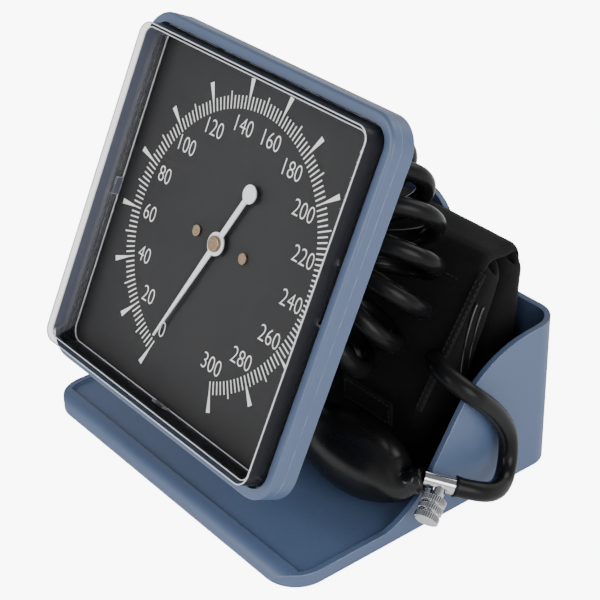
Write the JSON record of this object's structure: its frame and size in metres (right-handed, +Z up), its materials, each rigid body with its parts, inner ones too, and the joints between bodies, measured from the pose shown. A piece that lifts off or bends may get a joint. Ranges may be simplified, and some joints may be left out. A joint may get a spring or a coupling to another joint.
{
  "type": "desk sphygmomanometer",
  "caption": "Desk blood pressure gauge with a tilting square dial head, a base tray holding the folded cuff, a coiled hose, and a hand bulb with release valve.",
  "frame": {"origin": "middle of the base footprint, on the surface that the feet stand on", "axes": "+X to the right as the dial is read, +Y to the back, +Z up"},
  "size_m": [0.2011, 0.157, 0.1838],
  "materials": {
    "blue_plastic": "fine satin moulded plastic, grey-blue",
    "foot_rubber": "dull black rubber",
    "zinc_steel": "zinc plated steel",
    "clear_plastic": "clear polished plastic",
    "dial_paint": "dark grey printed aluminium",
    "spacer_plastic": "white nylon",
    "brass": "machined brass",
    "spring_bronze": "rolled bronze",
    "shaft_steel": "ground steel",
    "pointer_white": "white enamel",
    "bulb_rubber": "satin black rubber",
    "chrome": "bright chrome plate",
    "tube_rubber": "smooth black rubber",
    "connector_plastic": "black moulded plastic",
    "cuff_fabric": "black woven nylon",
    "bladder_rubber": "thin black rubber",
    "binding_tape": "black woven tape",
    "fastener_tape": "black hook and loop tape"
  },
  "bodies": {
    "stand": {"base_tray": "blue_plastic", "rubber_feet": "foot_rubber", "gauge_stand": "blue_plastic", "stand_screws": "zinc_steel", "hinge_bolt": "zinc_steel", "hinge_nut": "zinc_steel", "hinge_washers": "zinc_steel", "rubber_bulb": "bulb_rubber", "inlet_valve": "chrome", "valve_body": "chrome", "coiled_tube": "tube_rubber", "tube_connector": "connector_plastic", "cuff_connector": "connector_plastic", "cuff_tube": "tube_rubber", "bulb_tube": "tube_rubber", "cuff_front": "cuff_fabric", "cuff_rear": "cuff_fabric", "cuff_bladder": "bladder_rubber", "cuff_binding": "binding_tape", "cuff_flap": "cuff_fabric", "loop_patch": "fastener_tape", "hook_patch": "fastener_tape"},
    "head": {"rear_case": "blue_plastic", "front_bezel": "blue_plastic", "clear_cover": "clear_plastic", "dial_plate": "dial_paint", "dial_spacers": "spacer_plastic", "dial_screws": "brass", "lower_plate": "brass", "upper_plate": "brass", "pinion_bridge": "brass", "movement_standoffs": "brass", "movement_pillars": "brass", "movement_screws": "zinc_steel", "pressure_capsule": "spring_bronze", "gauge_socket": "brass", "socket_nut": "brass", "hairspring": "spring_bronze", "hairspring_stud": "brass"},
    "capsule_button": {"capsule_post": "brass"},
    "rocker": {"rocker_arm": "brass"},
    "sector": {"sector_gear": "brass"},
    "pointer_shaft": {"pinion_shaft": "shaft_steel", "pointer": "pointer_white", "pointer_cap": "brass"},
    "needle": {"valve_needle": "chrome"},
    "knob": {"valve_knob": "chrome"}
  },
  "joints": [
    {"name": "head_tilt", "type": "hinge", "parent": "stand", "child": "head", "pos_m": [0, -0.01396, 0.07662], "axis": [1, 0, 0], "range_deg": [-5, 15], "deforming": ["coiled_tube"]},
    {"name": "pointer_turn", "type": "hinge", "parent": "head", "child": "pointer_shaft", "pos_m": [0, -0.03575, 0.1095], "axis": [0, 0.8988, -0.4384], "range_deg": [0, 317.65], "stiffness_Nm_per_rad": 0.001},
    {"name": "sector_swing", "type": "hinge", "parent": "head", "child": "sector", "pos_m": [0, -0.0184, 0.12774], "axis": [0, -0.8988, 0.4384], "range_deg": [0, 64]},
    {"name": "rocker_swing", "type": "hinge", "parent": "head", "child": "rocker", "pos_m": [0, -0.01891, 0.11575], "axis": [-1, 0, 0], "range_deg": [0, 6.3]},
    {"name": "capsule_push", "type": "slide", "parent": "head", "child": "capsule_button", "axis": [0, -0.8988, 0.4384], "range_m": [0, 0.00142]},
    {"name": "needle_travel", "type": "slide", "parent": "stand", "child": "needle", "axis": [0.3302, -0.8004, -0.5003], "range_m": [0, 0.00121]},
    {"name": "knob_turn", "type": "hinge", "parent": "needle", "child": "knob", "pos_m": [0.0966, 0.00082, 0.0251], "axis": [0.3302, -0.8004, -0.5003], "range_deg": [0, 540]}
  ],
  "couplings": [
    {"joint": "sector_swing", "follows": "pointer_turn", "ratio": 0.2},
    {"joint": "rocker_swing", "follows": "pointer_turn", "ratio": 0.0195},
    {"joint": "capsule_push", "follows": "pointer_turn", "m_per_rad": 0.000252},
    {"joint": "needle_travel", "follows": "knob_turn", "m_per_rad": 0.000127}
  ]
}
